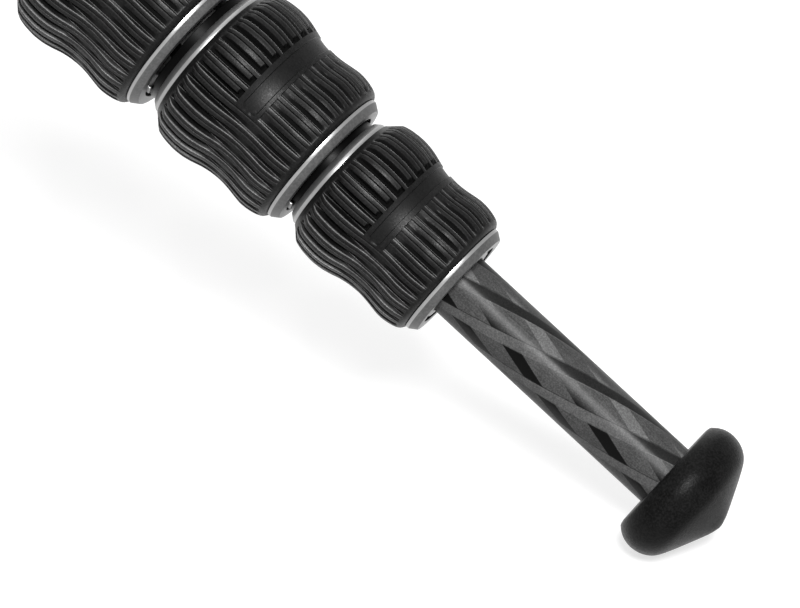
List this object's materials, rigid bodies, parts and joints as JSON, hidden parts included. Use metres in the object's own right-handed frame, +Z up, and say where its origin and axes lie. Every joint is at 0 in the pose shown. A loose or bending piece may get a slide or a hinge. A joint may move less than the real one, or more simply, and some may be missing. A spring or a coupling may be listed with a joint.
{
  "type": "travel tripod",
  "caption": "Standing travel tripod with telescoping carbon legs, ribbed twist locks, mushroom feet, reverse-folding leg hinges and a sliding centre column with a head plate.",
  "frame": {"origin": "base of the head stud, on the top of the head plate's pad, with the column pushed down", "axes": "+Z up along the column and the head stud, +X outward over leg A"},
  "size_m": [0.6188, 0.7096, 0.3157],
  "materials": {
    "carbon": "satin clear-coated carbon tube",
    "lock_ring": "fine satin, lightly brushed",
    "grip_rubber": "matte moulded rubber",
    "foot_rubber": "matte rubber, fine grain",
    "collet_plastic": "matte",
    "hub_paint": "fine textured paint",
    "bolt_steel": "satin"
  },
  "bodies": {
    "spider": {"spider": "hub_paint", "column_bush": "collet_plastic", "hinge_bolts": "bolt_steel"},
    "column": {"column_tube": "carbon", "head_plate": "lock_ring", "plate_pad": "foot_rubber", "head_stud": "bolt_steel", "column_end_cap": "lock_ring", "column_hook": "bolt_steel"},
    "column_lock": {"column_lock_collar": "lock_ring", "column_lock_grip": "grip_rubber"},
    "leg_a": {"leg_a_yoke": "hub_paint", "leg_a_tube_1": "carbon", "leg_a_lock_1_collet": "collet_plastic"},
    "leg_a_stop": {"leg_a_angle_stop": "lock_ring"},
    "leg_a_section_2": {"leg_a_tube_2": "carbon", "leg_a_lock_2_collet": "collet_plastic"},
    "leg_a_section_3": {"leg_a_tube_3": "carbon", "leg_a_lock_3_collet": "collet_plastic"},
    "leg_a_section_4": {"leg_a_tube_4": "carbon", "leg_a_foot": "foot_rubber"},
    "leg_a_lock_1": {"leg_a_lock_1_collar": "lock_ring", "leg_a_lock_1_grip": "grip_rubber"},
    "leg_a_lock_2": {"leg_a_lock_2_collar": "lock_ring", "leg_a_lock_2_grip": "grip_rubber"},
    "leg_a_lock_3": {"leg_a_lock_3_collar": "lock_ring", "leg_a_lock_3_grip": "grip_rubber"},
    "leg_b": {"leg_b_yoke": "hub_paint", "leg_b_tube_1": "carbon", "leg_b_lock_1_collet": "collet_plastic"},
    "leg_b_stop": {"leg_b_angle_stop": "lock_ring"},
    "leg_b_section_2": {"leg_b_tube_2": "carbon", "leg_b_lock_2_collet": "collet_plastic"},
    "leg_b_section_3": {"leg_b_tube_3": "carbon", "leg_b_lock_3_collet": "collet_plastic"},
    "leg_b_section_4": {"leg_b_tube_4": "carbon", "leg_b_foot": "foot_rubber"},
    "leg_b_lock_1": {"leg_b_lock_1_collar": "lock_ring", "leg_b_lock_1_grip": "grip_rubber"},
    "leg_b_lock_2": {"leg_b_lock_2_collar": "lock_ring", "leg_b_lock_2_grip": "grip_rubber"},
    "leg_b_lock_3": {"leg_b_lock_3_collar": "lock_ring", "leg_b_lock_3_grip": "grip_rubber"},
    "leg_c": {"leg_c_yoke": "hub_paint", "leg_c_tube_1": "carbon", "leg_c_lock_1_collet": "collet_plastic"},
    "leg_c_stop": {"leg_c_angle_stop": "lock_ring"},
    "leg_c_section_2": {"leg_c_tube_2": "carbon", "leg_c_lock_2_collet": "collet_plastic"},
    "leg_c_section_3": {"leg_c_tube_3": "carbon", "leg_c_lock_3_collet": "collet_plastic"},
    "leg_c_section_4": {"leg_c_tube_4": "carbon", "leg_c_foot": "foot_rubber"},
    "leg_c_lock_1": {"leg_c_lock_1_collar": "lock_ring", "leg_c_lock_1_grip": "grip_rubber"},
    "leg_c_lock_2": {"leg_c_lock_2_collar": "lock_ring", "leg_c_lock_2_grip": "grip_rubber"},
    "leg_c_lock_3": {"leg_c_lock_3_collar": "lock_ring", "leg_c_lock_3_grip": "grip_rubber"}
  },
  "joints": [
    {"name": "column_slide", "type": "slide", "parent": "spider", "child": "column", "axis": [0, 0, 1], "range_m": [0, 0.195]},
    {"name": "column_lock_turn", "type": "hinge", "parent": "spider", "child": "column_lock", "pos_m": [0, 0, -0.028], "axis": [0, 0, 1], "range_deg": [0, 90]},
    {"name": "leg_a_hinge", "type": "hinge", "parent": "spider", "child": "leg_a", "pos_m": [0.038, 0, -0.0405], "axis": [0, -1, 0], "range_deg": [-55, 125]},
    {"name": "leg_a_stop_slide", "type": "slide", "parent": "leg_a", "child": "leg_a_stop", "axis": [0.8192, 0, -0.5736], "range_m": [-0.0037, 0]},
    {"name": "leg_a_section_2_slide", "type": "slide", "parent": "leg_a", "child": "leg_a_section_2", "axis": [0.8192, 0, -0.5736], "range_m": [0, 0.199]},
    {"name": "leg_a_section_3_slide", "type": "slide", "parent": "leg_a_section_2", "child": "leg_a_section_3", "axis": [0.8192, 0, -0.5736], "range_m": [0, 0.234]},
    {"name": "leg_a_section_4_slide", "type": "slide", "parent": "leg_a_section_3", "child": "leg_a_section_4", "axis": [0.8192, 0, -0.5736], "range_m": [-0.057, 0.211]},
    {"name": "leg_a_lock_1_turn", "type": "hinge", "parent": "leg_a", "child": "leg_a_lock_1", "pos_m": [0.038, 0, -0.0405], "axis": [0.8192, 0, -0.5736], "range_deg": [0, 90]},
    {"name": "leg_a_lock_2_turn", "type": "hinge", "parent": "leg_a_section_2", "child": "leg_a_lock_2", "pos_m": [0.038, 0, -0.0405], "axis": [0.8192, 0, -0.5736], "range_deg": [0, 90]},
    {"name": "leg_a_lock_3_turn", "type": "hinge", "parent": "leg_a_section_3", "child": "leg_a_lock_3", "pos_m": [0.038, 0, -0.0405], "axis": [0.8192, 0, -0.5736], "range_deg": [0, 90]},
    {"name": "leg_b_hinge", "type": "hinge", "parent": "spider", "child": "leg_b", "pos_m": [-0.019, 0.03291, -0.0405], "axis": [0.866, 0.5, 0], "range_deg": [-55, 125]},
    {"name": "leg_b_stop_slide", "type": "slide", "parent": "leg_b", "child": "leg_b_stop", "axis": [-0.4096, 0.7094, -0.5736], "range_m": [-0.0037, 0]},
    {"name": "leg_b_section_2_slide", "type": "slide", "parent": "leg_b", "child": "leg_b_section_2", "axis": [-0.4096, 0.7094, -0.5736], "range_m": [0, 0.199]},
    {"name": "leg_b_section_3_slide", "type": "slide", "parent": "leg_b_section_2", "child": "leg_b_section_3", "axis": [-0.4096, 0.7094, -0.5736], "range_m": [0, 0.234]},
    {"name": "leg_b_section_4_slide", "type": "slide", "parent": "leg_b_section_3", "child": "leg_b_section_4", "axis": [-0.4096, 0.7094, -0.5736], "range_m": [-0.057, 0.211]},
    {"name": "leg_b_lock_1_turn", "type": "hinge", "parent": "leg_b", "child": "leg_b_lock_1", "pos_m": [-0.019, 0.03291, -0.0405], "axis": [-0.4096, 0.7094, -0.5736], "range_deg": [0, 90]},
    {"name": "leg_b_lock_2_turn", "type": "hinge", "parent": "leg_b_section_2", "child": "leg_b_lock_2", "pos_m": [-0.019, 0.03291, -0.0405], "axis": [-0.4096, 0.7094, -0.5736], "range_deg": [0, 90]},
    {"name": "leg_b_lock_3_turn", "type": "hinge", "parent": "leg_b_section_3", "child": "leg_b_lock_3", "pos_m": [-0.019, 0.03291, -0.0405], "axis": [-0.4096, 0.7094, -0.5736], "range_deg": [0, 90]},
    {"name": "leg_c_hinge", "type": "hinge", "parent": "spider", "child": "leg_c", "pos_m": [-0.019, -0.03291, -0.0405], "axis": [-0.866, 0.5, 0], "range_deg": [-55, 125]},
    {"name": "leg_c_stop_slide", "type": "slide", "parent": "leg_c", "child": "leg_c_stop", "axis": [-0.4096, -0.7094, -0.5736], "range_m": [-0.0037, 0]},
    {"name": "leg_c_section_2_slide", "type": "slide", "parent": "leg_c", "child": "leg_c_section_2", "axis": [-0.4096, -0.7094, -0.5736], "range_m": [0, 0.199]},
    {"name": "leg_c_section_3_slide", "type": "slide", "parent": "leg_c_section_2", "child": "leg_c_section_3", "axis": [-0.4096, -0.7094, -0.5736], "range_m": [0, 0.234]},
    {"name": "leg_c_section_4_slide", "type": "slide", "parent": "leg_c_section_3", "child": "leg_c_section_4", "axis": [-0.4096, -0.7094, -0.5736], "range_m": [-0.057, 0.211]},
    {"name": "leg_c_lock_1_turn", "type": "hinge", "parent": "leg_c", "child": "leg_c_lock_1", "pos_m": [-0.019, -0.03291, -0.0405], "axis": [-0.4096, -0.7094, -0.5736], "range_deg": [0, 90]},
    {"name": "leg_c_lock_2_turn", "type": "hinge", "parent": "leg_c_section_2", "child": "leg_c_lock_2", "pos_m": [-0.019, -0.03291, -0.0405], "axis": [-0.4096, -0.7094, -0.5736], "range_deg": [0, 90]},
    {"name": "leg_c_lock_3_turn", "type": "hinge", "parent": "leg_c_section_3", "child": "leg_c_lock_3", "pos_m": [-0.019, -0.03291, -0.0405], "axis": [-0.4096, -0.7094, -0.5736], "range_deg": [0, 90]}
  ]
}
